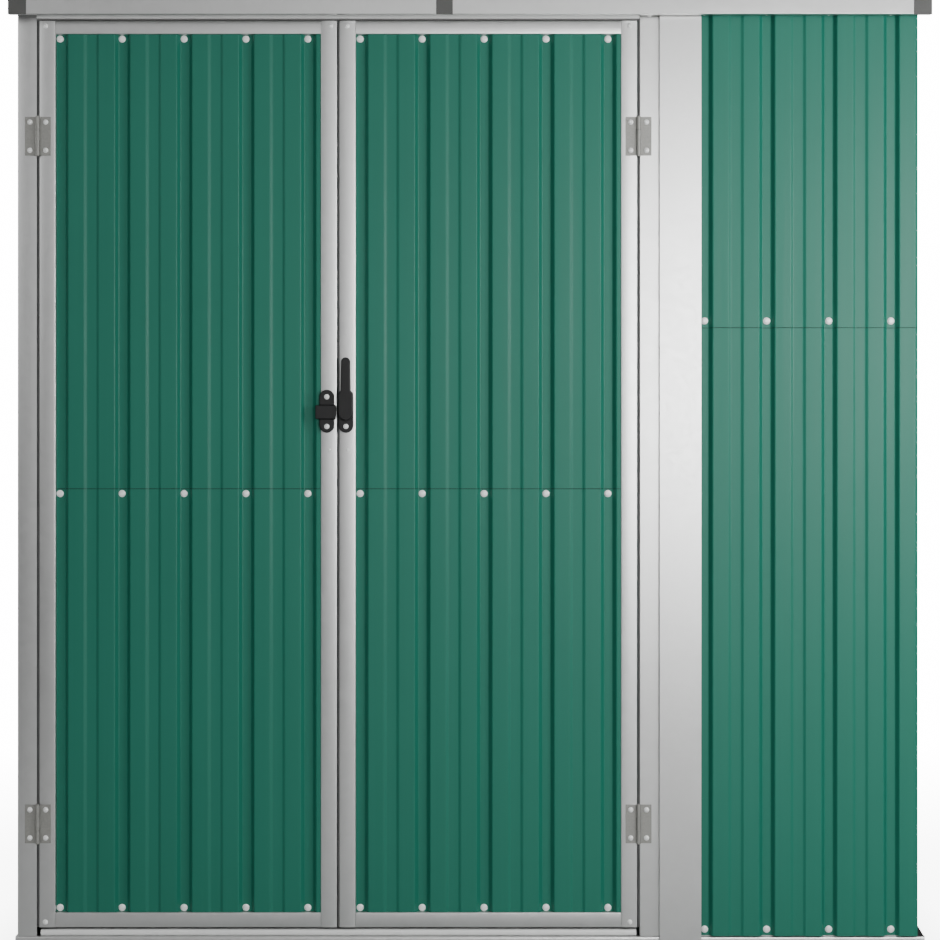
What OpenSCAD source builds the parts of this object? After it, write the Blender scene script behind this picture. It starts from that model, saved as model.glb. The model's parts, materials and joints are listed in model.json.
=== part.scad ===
// Metal storage shed with a pent roof, two hinged doors and one fixed front panel.
// Millimetres. X to the right, Y to the back, Z up. The origin is on the ground under the middle.

/* [Overall] */
// Width over the base rails
shed_w = 1904; // [1560:1:2300]
// Depth over the base rails
shed_d = 1008; // [800:1:1300]
// Height of the roof's front edge
roof_front_h = 2023; // [1700:1:2450]
// Rise of the roof from its front edge to its back edge
roof_rise = 207; // [100:1:300]

/* [Base] */
// Height of a base rail
base_h = 40; // [30:1:60]
// Depth of the front and back base rails
base_rail_d = 32; // [28:1:60]
// Ledge of the base in front of and behind the walls
base_ledge = 4; // [2:1:10]
// Ledge of the base on the left
base_ledge_left = 4; // [2:1:20]
// Ledge of the base on the right, which carries the wedges
base_ledge_right = 16; // [8:1:30]

/* [Frame] */
// Visible width of a corner post
post_w = 40.5; // [30:0.5:60]
// Flange width of the hidden right corner post
inner_post_w = 50; // [46:1:80]
// Width of the door jamb, from its open edge to behind the front panel
jamb_w = 149.5; // [140:0.5:180]
// Depth of the door jamb
jamb_d = 30; // [20:1:40]
// Wall of posts, jamb and cover strip
post_t = 1.5; // [1:0.1:3]
// Height of a wall rail
rail_h = 40; // [30:1:60]
// Height of the low rails that stand on the base
low_rail_h = 30; // [20:1:40]
// Depth of a wall rail
rail_d = 20; // [12:1:26]
// Wall of rails and beams
rail_t = 1.2; // [0.8:0.1:2]
// Height of the middle wall rails above the ground
mid_rail_z = 1321; // [900:1:1500]
// Height of the header rails
header_h = 23; // [15:1:30]

/* [Cover strip] */
// Width of the strip between the doors and the fixed panel
strip_w = 86.5; // [70:0.5:100]
// Distance from the open edge of the jamb to the strip
strip_offset = 41; // [30:1:50]

/* [Ribbed sheet] */
// Distance from one valley to the next
sheet_pitch = 130; // [110:1:150]
// Thickness of a sheet
sheet_t = 0.8; // [0.5:0.1:1.5]
// Width of a valley floor
valley_w = 19; // [14:1:30]
// Width of a steep side
slope_w = 6.5; // [4:0.5:10]
// Height of a rib
rib_h = 10.5; // [6:0.5:12]
// Width of the shallow recess in the middle of a rib
recess_w = 22; // [12:1:30]
// Depth of the shallow recess
recess_d = 3; // [1:0.5:4]
// Width of a recess side
recess_slope = 4; // [2:0.5:6]
// Width that two sheets lap over each other
lap_w = 30; // [20:1:50]

/* [Doors] */
// Width of one door leaf
leaf_w = 624; // [560:1:640]
// Gap round a leaf
leaf_gap = 5; // [3:0.5:8]
// Height of the door sill over the base
sill_h = 13; // [10:1:20]
// Width of a door stile
stile_w = 34; // [28:1:45]
// Height of a door's top rail
top_rail_h = 27.5; // [20:0.5:40]
// Height of a door's bottom rail
bottom_rail_h = 31; // [20:0.5:40]
// Width of the inner flange that carries the door sheet
sheet_flange = 26; // [20:1:40]
// Depth of the rib tops behind the face of the door frame
rib_inset = 1.5; // [0.5:0.5:4]
// Wall of the door frame
door_t = 1.2; // [0.8:0.1:2]
// Height of the lap between the door's lower and upper sheet
door_seam_z = 976; // [700:1:1200]

/* [Hinges] */
// Height of a hinge
hinge_h = 81; // [60:1:100]
// Width of an open hinge
hinge_w = 54; // [40:1:60]
// Thickness of a hinge leaf
hinge_t = 1.5; // [1:0.1:2]
// Radius of a knuckle
knuckle_r = 4.5; // [3.5:0.1:6]
// Radius of a hinge pin
pin_r = 2.2; // [1.5:0.1:3]
// Height of the lower hinges over a leaf's bottom edge
hinge_low = 217; // [80:1:400]
// Distance of the upper hinges under a leaf's top edge
hinge_high = 242; // [80:1:400]

/* [Latch] */
// Height of the lever's pivot
latch_z = 1135; // [900:1:1300]
// Width of the lever's base plate and of the keeper plate
latch_w = 31; // [26:1:34]
// Height of the base plate
latch_base_h = 87; // [70:1:110]
// Thickness of the base plate
latch_base_t = 9; // [6:1:12]
// Height of the keeper plate
keeper_h = 90; // [70:1:110]
// Thickness of the keeper plate
keeper_t = 8; // [6:1:12]
// Width of the keeper's boss
boss_w = 43.5; // [34:0.5:50]
// Distance of the keeper and the base plate past the leaf edges they lie on
latch_overhang = 1.5; // [0:0.5:2]
// Height of the keeper's boss
boss_h = 29; // [20:1:36]
// Thickness of the keeper's boss
boss_t = 13; // [10:1:16]
// Length of the lever from its pivot
lever_len = 116; // [80:1:140]
// Length of the lever's broad body from its pivot
lever_body_len = 42; // [30:1:60]
// Width of the lever's arm
lever_w = 21; // [16:1:24]
// Thickness of the lever
lever_t = 12; // [8:1:14]
// Radius of the lever's pivot pin
pivot_r = 6; // [4:0.5:8]

/* [Roof trim] */
// Distance of the roof edge past the base on the left and right
roof_overhang_side = 8; // [4:1:60]
// Distance of the roof edge past the base at the front and back
roof_overhang = 36; // [30:1:80]
// Height of the roof trim's face
trim_h = 60; // [50:1:80]
// Width of the trim's top flange
trim_top_w = 30; // [20:1:40]
// Width of the trim's bottom flange
trim_low_w = 12; // [8:1:20]
// Wall of the trim
trim_t = 1.2; // [0.8:0.1:2]
// Length of a corner cap along each edge
cap_w = 38; // [32:1:60]
// Wall of the corner caps and joiners
cap_t = 1.5; // [1:0.1:3]
// Width of a joiner
joiner_w = 34.6; // [25:0.1:50]
// Middle of the joiner and of the roof sheets' lap
joiner_x = -53; // [-300:1:300]
// Number of roof beams
beam_count = 3; // [1:1:5]
// Height of a roof beam
beam_h = 30; // [20:1:40]
// Width of a roof beam
beam_w = 25; // [15:1:40]

/* [Hidden] */
$fn = 48;
through = 1;          // how far a cutting shape passes the faces that it cuts

// Named clearances
lap_gap = 0.1;        // between two sheets that lap
seat_gap = 0.3;       // between a sheet and the trim over it
solid_gap = 0.5;      // between like pieces that share a node, or under the roof plane
running_fit = 0.05;   // radial, pin to bore
knuckle_gap = 0.5;    // along the pin, between knuckles
sheet_foot = 2;       // under a wall sheet, over the base
slope_gap = 0.05;     // between sloping faces that meet
under_roof = 2;       // between the back wall's tops and the roof plane

// Outer faces, from the middle of the base
roof_w = shed_w + 2 * roof_overhang_side;
roof_d = shed_d + 2 * roof_overhang;
wall_left = shed_w / 2 - base_ledge_left;
wall_right = shed_w / 2 - base_ledge_right;
front_y = -shed_d / 2 + base_ledge;
back_post_y = -front_y;

// Wall planes: a sheet's valleys sit on the frame plane
sheet_stack = rib_h + 2 * sheet_t + lap_gap;
upper_step = sheet_t + lap_gap;
back_y = back_post_y - post_t - seat_gap - sheet_stack;
left_x = -wall_left + post_t + seat_gap + sheet_stack;
right_x = wall_right - sheet_stack;
right_trim_x = wall_right + seat_gap + post_t;

// Roof plane, which the roof sheets' valleys lie on
roof_back_h = roof_front_h + roof_rise;
slope = roof_rise / roof_d;
roof_a = atan(slope);
flange_low = sheet_stack / cos(roof_a) + 0.5;
function cap_top(y) = roof_front_h + (y + roof_d / 2) * slope;
function trim_top(y) = cap_top(y) - cap_t - slope_gap;
function roof_plane(y) = trim_top(y) - trim_t - flange_low;
trim_edge = roof_d / 2 - cap_t;
trim_side = roof_w / 2 - cap_t;

// Doors: the leaves' tops pass under the roof trim
cap_drop = 1;         // of the caps under the trim's lower edge
sill_top = base_h + sill_h;
leaf_z0 = sill_top + leaf_gap;
leaf_z1 = roof_front_h - trim_h - cap_drop - leaf_gap;
leaf_h = leaf_z1 - leaf_z0;
header_z = leaf_z1 + leaf_gap;
header_top = header_z + header_h;
post_top = header_top;
post_edge = -wall_left + post_w;
left_leaf_x = post_edge + leaf_gap;
right_leaf_x = left_leaf_x + leaf_w + leaf_gap;
jamb_x = right_leaf_x + leaf_w + leaf_gap;
jamb_end = jamb_x + jamb_w;
flange_depth = rib_inset + sheet_stack;
door_valley = 44;     // leaf's outer edge to the first valley
door_lap = 26;        // lap of the door sheets

sill_start = 3;       // inside the leaf's outer edge
sill_end = 7;         // short of the jamb
sill_set_back = 1;    // behind the front plane

// Hinge axes, half a gap from each leaf and in front of it
left_axis_x = left_leaf_x - leaf_gap / 2;
right_axis_x = right_leaf_x + leaf_w + leaf_gap / 2;
axis_y = front_y - knuckle_r;

hinge_low_z = leaf_z0 + hinge_low;
hinge_high_z = leaf_z1 - hinge_high;

// Latch: the keeper's boss and the base plate face each other across the gap of the leaves
keeper_set_in = 4;    // keeper plate's edge behind its boss's edge
boss_lift = 2;        // boss's middle over the pivot
lever_taper = 1;      // on each side of the arm, from the shoulders to the tip
latch_foot = 41;      // pivot to the lower ends of both plates
boss_x1 = left_leaf_x + leaf_w - latch_overhang;
keeper_x = boss_x1 - latch_w / 2 - keeper_set_in;
lever_x = right_leaf_x - latch_overhang + latch_w / 2;
latch_low_z = latch_z - latch_foot;

// Cover strip
strip_x = jamb_x + strip_offset;
strip_back_y = front_y - sheet_stack - seat_gap;
strip_front_y = strip_back_y - post_t;
strip_h = header_top;

// Front panel: laid out from its right edge, and tucked half under the strip
panel_edge = 55;      // right edge to the nearest valley
front_valley = wall_right - panel_edge;
front_sheet_x0 = strip_x + strip_w / 2;
inner_post_x = right_x - inner_post_w;

// Side and back walls: valleys are laid out from the middle
side_valley = 0;
seam_drop = 7;        // lap's lower edge under the middle of the rail
sheet_rise = 10;      // front sheet's top over the header
wall_seam_z = mid_rail_z - seam_drop;
wall_sheet_top = header_top + sheet_rise;

STEEL = [0.70, 0.71, 0.70];
GREEN = [0.16, 0.40, 0.36];
DARK = [0.37, 0.37, 0.36];
BLACK = [0.13, 0.13, 0.13];

// ---- Ribbed sheet ----

// Height of the ribs at x, with a valley at c
function rib_at(x, c) =
    let (turns = (x - c) / sheet_pitch)
    let (d = abs(turns - round(turns)) * sheet_pitch)
    lookup(d, [
        [valley_w / 2, 0],
        [valley_w / 2 + slope_w, rib_h],
        [(sheet_pitch - recess_w) / 2 - recess_slope, rib_h],
        [(sheet_pitch - recess_w) / 2, rib_h - recess_d]
    ]);

// Bends between x0 and x1, with a valley at c
function bends(x0, x1, c) = [
    for (k = [floor((x0 - c) / sheet_pitch) : ceil((x1 - c) / sheet_pitch)])
        for (side = [-1, 1])
            for (i = [0 : 3])
                let (out = [
                    valley_w / 2,
                    valley_w / 2 + slope_w,
                    (sheet_pitch - recess_w) / 2 - recess_slope,
                    (sheet_pitch - recess_w) / 2
                ])
                let (x = c + k * sheet_pitch + side * out[side < 0 ? 3 - i : i])
                if (x > x0 + 0.5 && x < x1 - 0.5) x
];

// Upright sheet from x0 to x1: valleys on y = 0, ribs towards -Y
module ribbed_sheet(x0, x1, c, length) {
    xs = concat([x0], bends(x0, x1, c), [x1]);
    inner = [for (x = xs) [x, -rib_at(x, c)]];
    outer = [for (i = [len(xs) - 1 : -1 : 0]) [xs[i], -rib_at(xs[i], c) - sheet_t]];
    linear_extrude(length) polygon(concat(inner, outer));
}

// Block from x0 to x1 and y0 to y1: its underside runs from low0 to low1, its top from high0 to high1
module slope_strip(x0, x1, y0, y1, low0, low1, high0, high1) {
    translate([x0, 0, 0])
        rotate([90, 0, 90])
            linear_extrude(x1 - x0)
                polygon([[y0, low0], [y1, low1], [y1, high1], [y0, high0]]);
}

// ---- Frame ----

// Rectangular tube along X
module tube_x(x0, x1, y0, y1, z0, z1, t) {
    difference() {
        translate([x0, y0, z0]) cube([x1 - x0, y1 - y0, z1 - z0]);
        translate([x0 - through, y0 + t, z0 + t])
            cube([x1 - x0 + 2 * through, y1 - y0 - 2 * t, z1 - z0 - 2 * t]);
    }
}

// Rectangular tube along Y
module tube_y(x0, x1, y0, y1, z0, z1, t) {
    difference() {
        translate([x0, y0, z0]) cube([x1 - x0, y1 - y0, z1 - z0]);
        translate([x0 + t, y0 - through, z0 + t])
            cube([x1 - x0 - 2 * t, y1 - y0 + 2 * through, z1 - z0 - 2 * t]);
    }
}

module base_rail_front() {
    color(STEEL)
        tube_x(-shed_w / 2, shed_w / 2, -shed_d / 2, -shed_d / 2 + base_rail_d, 0, base_h, rail_t);
}

module base_rail_back() {
    color(STEEL)
        tube_x(-shed_w / 2, shed_w / 2, shed_d / 2 - base_rail_d, shed_d / 2, 0, base_h, rail_t);
}

base_inner = 2;       // side base rail's inner face beyond the wall rail on it

module base_rail_left() {
    color(STEEL)
        tube_y(-shed_w / 2, left_x + rail_d + base_inner, -shed_d / 2 + base_rail_d, shed_d / 2 - base_rail_d,
            0, base_h, rail_t);
}

module base_rail_right() {
    color(STEEL)
        tube_y(right_x - rail_d - base_inner, shed_w / 2, -shed_d / 2 + base_rail_d, shed_d / 2 - base_rail_d,
            0, base_h, rail_t);
}

// Angle with its outer corner at x, y; the legs run towards sx and sy
module angle_post(x, y, sx, sy, leg, z1) {
    color(STEEL)
        translate([x, y, base_h])
            linear_extrude(z1 - base_h)
                polygon([
                    [0, 0], [sx * leg, 0], [sx * leg, sy * post_t],
                    [sx * post_t, sy * post_t], [sx * post_t, sy * leg], [0, sy * leg]
                ]);
}

module corner_post_front_left() {
    angle_post(-wall_left, front_y, 1, 1, post_w, post_top);
}

module corner_post_front_right() {
    angle_post(right_x, front_y, -1, 1, inner_post_w, post_top);
}

// The back posts wrap round the sheets and end under the roof
back_post_top = roof_plane(back_post_y - post_w) - under_roof;

module corner_post_back_left() {
    angle_post(-wall_left, back_post_y, 1, -1, post_w, back_post_top);
}

module corner_post_back_right() {
    angle_post(right_trim_x, back_post_y, -1, -1, post_w, back_post_top);
}

module door_jamb() {
    color(STEEL)
        translate([jamb_x, front_y, base_h])
            linear_extrude(post_top - base_h)
                polygon([
                    [0, 0], [jamb_w, 0], [jamb_w, jamb_d], [jamb_w - post_t, jamb_d],
                    [jamb_w - post_t, post_t], [post_t, post_t], [post_t, jamb_d], [0, jamb_d]
                ]);
}

// Flat strip with a return on its left that reaches back to the jamb over the base
module cover_strip() {
    color(STEEL) {
        translate([strip_x, strip_front_y, 0])
            cube([strip_w, post_t, strip_h]);
        translate([strip_x, strip_front_y, 0])
            cube([post_t, -shed_d / 2 - strip_front_y, strip_h]);
        translate([strip_x, strip_front_y, base_h])
            cube([post_t, front_y - strip_front_y, strip_h - base_h]);
    }
}

module header_rails() {
    color(STEEL) {
        tube_x(post_edge, jamb_x, front_y, front_y + rail_d, header_z, header_top, rail_t);
        tube_x(jamb_end, inner_post_x, front_y, front_y + rail_d, header_z, header_top, rail_t);
    }
}

module door_sill() {
    color(STEEL)
        translate([0, front_y + sill_set_back, 0])
            tube_x(left_leaf_x + sill_start, jamb_x - sill_end, 0, rail_d, base_h, sill_top, rail_t);
}

// Channel that opens towards the room: front, left, right and back pieces of one height
module wall_rails(z0, h) {
    color(STEEL) {
        // Behind the fixed front panel
        translate([jamb_end, front_y, z0])
            rotate([90, 0, 90])
                linear_extrude(inner_post_x - jamb_end)
                    channel(rail_d, h);
        // Left
        translate([left_x, back_y, z0])
            rotate([90, 0, 0])
                linear_extrude(back_y - left_rail_y)
                    channel(rail_d, h);
        // Right
        translate([right_x, right_rail_y, z0])
            rotate([90, 0, 180])
                linear_extrude(back_y - right_rail_y)
                    channel(rail_d, h);
        // Back
        translate([right_x - rail_d - solid_gap, back_y, z0])
            rotate([90, 0, 270])
                linear_extrude(right_x - left_x - 2 * rail_d - 2 * solid_gap)
                    channel(rail_d, h);
    }
}

// The left rail starts behind the corner post's face, and the right one at the hidden post's edge
left_rail_y = front_y + post_t;
right_rail_y = front_y + inner_post_w;

// Section of a wall rail: web on x = 0, flanges towards +x
module channel(d, h) {
    polygon([
        [0, 0], [d, 0], [d, rail_t], [rail_t, rail_t],
        [rail_t, h - rail_t], [d, h - rail_t], [d, h], [0, h]
    ]);
}

module bottom_rails() {
    wall_rails(base_h, low_rail_h);
}

module mid_rails() {
    wall_rails(mid_rail_z - rail_h / 2, rail_h);
}

// Tube under the roof sheets, its top on the roof plane
module eave_rail(y0, y1, z0) {
    color(STEEL)
        translate([left_x, 0, 0])
            rotate([90, 0, 90])
                linear_extrude(right_x - left_x)
                    difference() {
                        polygon([[y0, z0], [y1, z0], [y1, roof_plane(y1)], [y0, roof_plane(y0)]]);
                        polygon([
                            [y0 + rail_t, z0 + rail_t], [y1 - rail_t, z0 + rail_t],
                            [y1 - rail_t, roof_plane(y1 - rail_t) - rail_t],
                            [y0 + rail_t, roof_plane(y0 + rail_t) - rail_t]
                        ]);
                    }
}

module top_rail_front() {
    eave_rail(front_y, front_y + rail_d, header_top);
}

module top_rail_back() {
    eave_rail(back_y - rail_d, back_y, roof_plane(back_y) - rail_h);
}

// Sloping channels on the side walls, between the front and back eave rails
module top_rails_side() {
    y0 = front_y + rail_d;
    y1 = back_y - rail_d;
    color(STEEL)
        for (side = [-1, 1]) {
            outer = side < 0 ? left_x : right_x;
            web0 = side < 0 ? outer : outer - rail_t;
            flange0 = side < 0 ? outer : outer - rail_d;
            slope_strip(web0, web0 + rail_t, y0, y1,
                roof_plane(y0) - beam_h, roof_plane(y1) - beam_h, roof_plane(y0), roof_plane(y1));
            slope_strip(flange0, flange0 + rail_d, y0, y1,
                roof_plane(y0) - rail_t, roof_plane(y1) - rail_t, roof_plane(y0), roof_plane(y1));
            slope_strip(flange0, flange0 + rail_d, y0, y1,
                roof_plane(y0) - beam_h, roof_plane(y1) - beam_h,
                roof_plane(y0) - beam_h + rail_t, roof_plane(y1) - beam_h + rail_t);
        }
}

// ---- Wall sheets ----

module front_sheet_lower() {
    color(GREEN)
        translate([0, front_y, base_h + sheet_foot])
            ribbed_sheet(front_sheet_x0, wall_right, front_valley,
                wall_seam_z + lap_w - base_h - sheet_foot);
}

module front_sheet_upper() {
    color(GREEN)
        translate([0, front_y - upper_step, wall_seam_z])
            ribbed_sheet(front_sheet_x0, wall_right, front_valley, wall_sheet_top - wall_seam_z);
}

// Everything above the roof plane
module above_roof() {
    slope_strip(-roof_w, roof_w, -roof_d, roof_d,
        roof_plane(-roof_d) - solid_gap, roof_plane(roof_d) - solid_gap,
        roof_back_h * 2, roof_back_h * 2);
}

// Side sheets run from the front corner to the back post
left_sheet_front = front_y + post_t + seat_gap;
right_sheet_front = front_y - rib_h + recess_d + seat_gap;
side_sheet_back = back_post_y - post_t - seat_gap;

module left_sheet_lower() {
    color(GREEN)
        translate([left_x, 0, base_h + sheet_foot])
            rotate([0, 0, -90])
                ribbed_sheet(-side_sheet_back, -left_sheet_front, side_valley,
                    wall_seam_z + lap_w - base_h - sheet_foot);
}

module left_sheet_upper() {
    color(GREEN)
        difference() {
            translate([left_x - upper_step, 0, wall_seam_z])
                rotate([0, 0, -90])
                    ribbed_sheet(-side_sheet_back, -left_sheet_front, side_valley,
                        roof_back_h - wall_seam_z);
            above_roof();
        }
}

module right_sheet_lower() {
    color(GREEN)
        translate([right_x, 0, base_h + sheet_foot])
            rotate([0, 0, 90])
                ribbed_sheet(right_sheet_front, side_sheet_back, side_valley,
                    wall_seam_z + lap_w - base_h - sheet_foot);
}

module right_sheet_upper() {
    color(GREEN)
        difference() {
            translate([right_x + upper_step, 0, wall_seam_z])
                rotate([0, 0, 90])
                    ribbed_sheet(right_sheet_front, side_sheet_back, side_valley,
                        roof_back_h - wall_seam_z);
            above_roof();
        }
}

// The back sheets fit between the side sheets
back_sheet_left = left_x + seat_gap;
back_sheet_right = right_x - seat_gap;

module back_sheet(z0, z1, step) {
    color(GREEN)
        translate([0, back_y + step, z0])
            rotate([0, 0, 180])
                ribbed_sheet(-back_sheet_right, -back_sheet_left, side_valley, z1 - z0);
}

module back_sheet_lower() {
    back_sheet(base_h + sheet_foot, wall_seam_z + lap_w, 0);
}

module back_sheet_upper() {
    back_sheet(wall_seam_z, roof_plane(back_y) - under_roof, upper_step);
}

// ---- Roof ----

// Left face of beam i: the beams are spread evenly, then each is moved under the nearest valley
function beam_x(i) =
    let (even = left_x + (right_x - left_x) * i / (beam_count + 1))
    joiner_x + sheet_pitch * round((even - joiner_x) / sheet_pitch) - beam_w / 2;

module roof_beams() {
    y0 = front_y + rail_d;
    y1 = back_y - rail_d;
    color(STEEL)
        for (i = [1 : beam_count]) {
            x = beam_x(i);
            slope_strip(x, x + rail_t, y0, y1,
                roof_plane(y0) - beam_h, roof_plane(y1) - beam_h, roof_plane(y0), roof_plane(y1));
            slope_strip(x, x + beam_w, y0, y1,
                roof_plane(y0) - rail_t, roof_plane(y1) - rail_t, roof_plane(y0), roof_plane(y1));
            slope_strip(x, x + beam_w, y0, y1,
                roof_plane(y0) - beam_h, roof_plane(y1) - beam_h,
                roof_plane(y0) - beam_h + rail_t, roof_plane(y1) - beam_h + rail_t);
        }
}

// Roof sheets lie on the roof plane and stop inside the trim
roof_sheet_inset = 8;
roof_lap = 20;

module roof_sheet(x0, x1, step) {
    y0 = -roof_d / 2 + roof_sheet_inset;
    length = (roof_d - 2 * roof_sheet_inset) / cos(roof_a);
    color(GREEN)
        translate([0, y0, roof_plane(y0) + slope_gap])
            rotate([roof_a - 90, 0, 0])
                translate([0, -step, 0])
                    ribbed_sheet(x0, x1, joiner_x, length);
}

module roof_sheet_left() {
    roof_sheet(-trim_side + trim_t + seat_gap, joiner_x + roof_lap, 0);
}

module roof_sheet_right() {
    roof_sheet(joiner_x - roof_lap, trim_side - trim_t - seat_gap, upper_step);
}

// Section of the trim along an edge; in is +1 where the roof lies towards +Y
module edge_section(edge, in) {
    polygon([
        [edge, trim_top(edge) - trim_h + cap_t],
        [edge + in * trim_low_w, trim_top(edge) - trim_h + cap_t],
        [edge + in * trim_low_w, trim_top(edge) - trim_h + cap_t + trim_t],
        [edge + in * trim_t, trim_top(edge) - trim_h + cap_t + trim_t],
        [edge + in * trim_t, trim_top(edge + in * trim_t) - trim_t],
        [edge + in * trim_top_w, trim_top(edge + in * trim_top_w) - trim_t],
        [edge + in * trim_top_w, trim_top(edge + in * trim_top_w)],
        [edge, trim_top(edge)]
    ]);
}

// Two lengths of trim that meet under the joiner
module edge_trim(edge, in) {
    half = solid_gap / 2;
    color(STEEL)
        for (x = [[-trim_side, joiner_x - half], [joiner_x + half, trim_side]])
            translate([x[0], 0, 0])
                rotate([90, 0, 90])
                    linear_extrude(x[1] - x[0])
                        edge_section(edge, in);
}

module roof_trim_front() {
    edge_trim(-trim_edge, 1);
}

module roof_trim_back() {
    edge_trim(trim_edge, -1);
}

// Sloping trim on both sides, between the front and back trim
module roof_trims_side() {
    y0 = -trim_edge + trim_top_w + solid_gap;
    y1 = -y0;
    // The bottom flange stops short of the walls
    side_low_w = min(trim_low_w, trim_side - max(wall_left, right_trim_x) - solid_gap);
    color(STEEL)
        for (side = [-1, 1]) {
            face = side < 0 ? -trim_side : trim_side - trim_t;
            top = side < 0 ? -trim_side : trim_side - trim_top_w;
            low = side < 0 ? -trim_side : trim_side - side_low_w;
            bottom0 = trim_top(y0) - trim_h + cap_t;
            bottom1 = trim_top(y1) - trim_h + cap_t;
            slope_strip(face, face + trim_t, y0, y1, bottom0, bottom1, trim_top(y0), trim_top(y1));
            slope_strip(top, top + trim_top_w, y0, y1,
                trim_top(y0) - trim_t, trim_top(y1) - trim_t, trim_top(y0), trim_top(y1));
            slope_strip(low, low + side_low_w, y0, y1,
                bottom0, bottom1, bottom0 + trim_t, bottom1 + trim_t);
        }
}

// Plates of a cap: on the edge, on the side and on top
module corner_cap(side, edge) {
    x0 = side < 0 ? -roof_w / 2 : roof_w / 2 - cap_w;
    x_side = side < 0 ? -roof_w / 2 : roof_w / 2 - cap_t;
    y0 = edge < 0 ? -roof_d / 2 : roof_d / 2 - cap_w;
    y1 = y0 + cap_w;
    y_edge = edge < 0 ? -roof_d / 2 : roof_d / 2 - cap_t;
    y_out = edge * roof_d / 2;
    slope_strip(x_side, x_side + cap_t, y0, y1,
        cap_top(y0) - trim_h - cap_drop, cap_top(y1) - trim_h - cap_drop, cap_top(y0), cap_top(y1));
    slope_strip(x0, x0 + cap_w, y_edge, y_edge + cap_t,
        cap_top(y_out) - trim_h - cap_drop, cap_top(y_out) - trim_h - cap_drop,
        cap_top(y_edge), cap_top(y_edge + cap_t));
    slope_strip(x0, x0 + cap_w, y0, y1,
        cap_top(y0) - cap_t, cap_top(y1) - cap_t, cap_top(y0), cap_top(y1));
}

module roof_corner_caps() {
    color(DARK)
        for (side = [-1, 1])
            for (edge = [-1, 1])
                corner_cap(side, edge);
}

module roof_trim_joiners() {
    x0 = joiner_x - joiner_w / 2;
    color(DARK)
        for (edge = [-1, 1]) {
            y0 = edge < 0 ? -roof_d / 2 : roof_d / 2 - cap_w;
            y1 = y0 + cap_w;
            y_edge = edge < 0 ? -roof_d / 2 : roof_d / 2 - cap_t;
            y_out = edge * roof_d / 2;
            slope_strip(x0, x0 + joiner_w, y_edge, y_edge + cap_t,
                cap_top(y_out) - trim_h - cap_drop, cap_top(y_out) - trim_h - cap_drop,
                cap_top(y_edge), cap_top(y_edge + cap_t));
            slope_strip(x0, x0 + joiner_w, y0, y1,
                cap_top(y0) - cap_t, cap_top(y1) - cap_t, cap_top(y0), cap_top(y1));
        }
}

// Small wedges on the base's ledge, against the right wall and the right back post
gusset_h = 25;
gusset_t = 10;
gusset_set_in = 1;    // from the base's edge

module gusset(x, y) {
    translate([x, y + gusset_t, base_h])
        rotate([90, 0, 0])
            linear_extrude(gusset_t)
                polygon([[0, 0], [shed_w / 2 - gusset_set_in - x, 0], [0, gusset_h]]);
}

module base_gussets() {
    color(BLACK) {
        gusset(wall_right, front_y);
        gusset(right_trim_x, back_post_y - gusset_t);
    }
}

// ---- Doors: local x runs across the leaf, local y is depth behind its face ----

// Section of a stile: a tube along the edge and a flange behind the sheet
module stile_section(tube_w, flange_w) {
    difference() {
        union() {
            square([tube_w, flange_depth + door_t]);
            translate([0, flange_depth]) square([tube_w + flange_w, door_t]);
        }
        translate([door_t, door_t]) square([tube_w - 2 * door_t, flange_depth - door_t]);
    }
}

module door_stiles(x0) {
    color(STEEL) {
        translate([x0, front_y, leaf_z0])
            linear_extrude(leaf_h) stile_section(stile_w, sheet_flange);
        translate([x0 + leaf_w, front_y, leaf_z0])
            linear_extrude(leaf_h) mirror([1, 0]) stile_section(stile_w, sheet_flange);
    }
}

// Where the stiles' flanges lie, which the rails leave free
module stile_flanges(x0) {
    for (x = [x0 + stile_w - through, x0 + leaf_w - stile_w - sheet_flange])
        translate([x, front_y + flange_depth, leaf_z0 - through])
            cube([sheet_flange + through, door_t + through, leaf_h + 2 * through]);
}

// A rail with its tube towards the leaf's top or bottom edge
module door_rail(x0, z_edge, up, tube_h) {
    translate([x0 + stile_w, front_y, z_edge])
        rotate([90, 0, 90])
            linear_extrude(leaf_w - 2 * stile_w)
                mirror([0, up < 0 ? 1 : 0])
                    difference() {
                        union() {
                            square([flange_depth + door_t, tube_h]);
                            translate([flange_depth, 0]) square([door_t, tube_h + sheet_flange]);
                        }
                        translate([door_t, door_t])
                            square([flange_depth - door_t, tube_h - 2 * door_t]);
                    }
}

module door_rails(x0) {
    color(STEEL) {
        difference() {
            union() {
                door_rail(x0, leaf_z0, 1, bottom_rail_h);
                door_rail(x0, leaf_z1, -1, top_rail_h);
            }
            stile_flanges(x0);
        }
        // Rail behind the lap of the sheets
        inset = stile_w + sheet_flange;
        translate([x0 + inset, front_y + flange_depth, door_seam_z - door_lap / 2 - rail_h / 2])
            rotate([90, 0, 90])
                linear_extrude(leaf_w - 2 * inset)
                    channel(rail_d / 2, rail_h);
    }
}

// A door sheet, from z0 to z1, with its valleys `depth` behind the leaf's face
module door_sheet(x0, z0, z1, depth) {
    inset = stile_w + seat_gap;
    color(GREEN)
        translate([0, front_y + depth, z0])
            ribbed_sheet(x0 + inset, x0 + leaf_w - inset, x0 + door_valley, z1 - z0);
}

module door_sheet_lower(x0) {
    door_sheet(x0, leaf_z0 + bottom_rail_h + seat_gap, door_seam_z, flange_depth - upper_step);
}

module door_sheet_upper(x0) {
    door_sheet(x0, door_seam_z - door_lap, leaf_z1 - top_rail_h - seat_gap, flange_depth);
}

// ---- Hinges ----

knuckle_h = hinge_h / 3;

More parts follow.
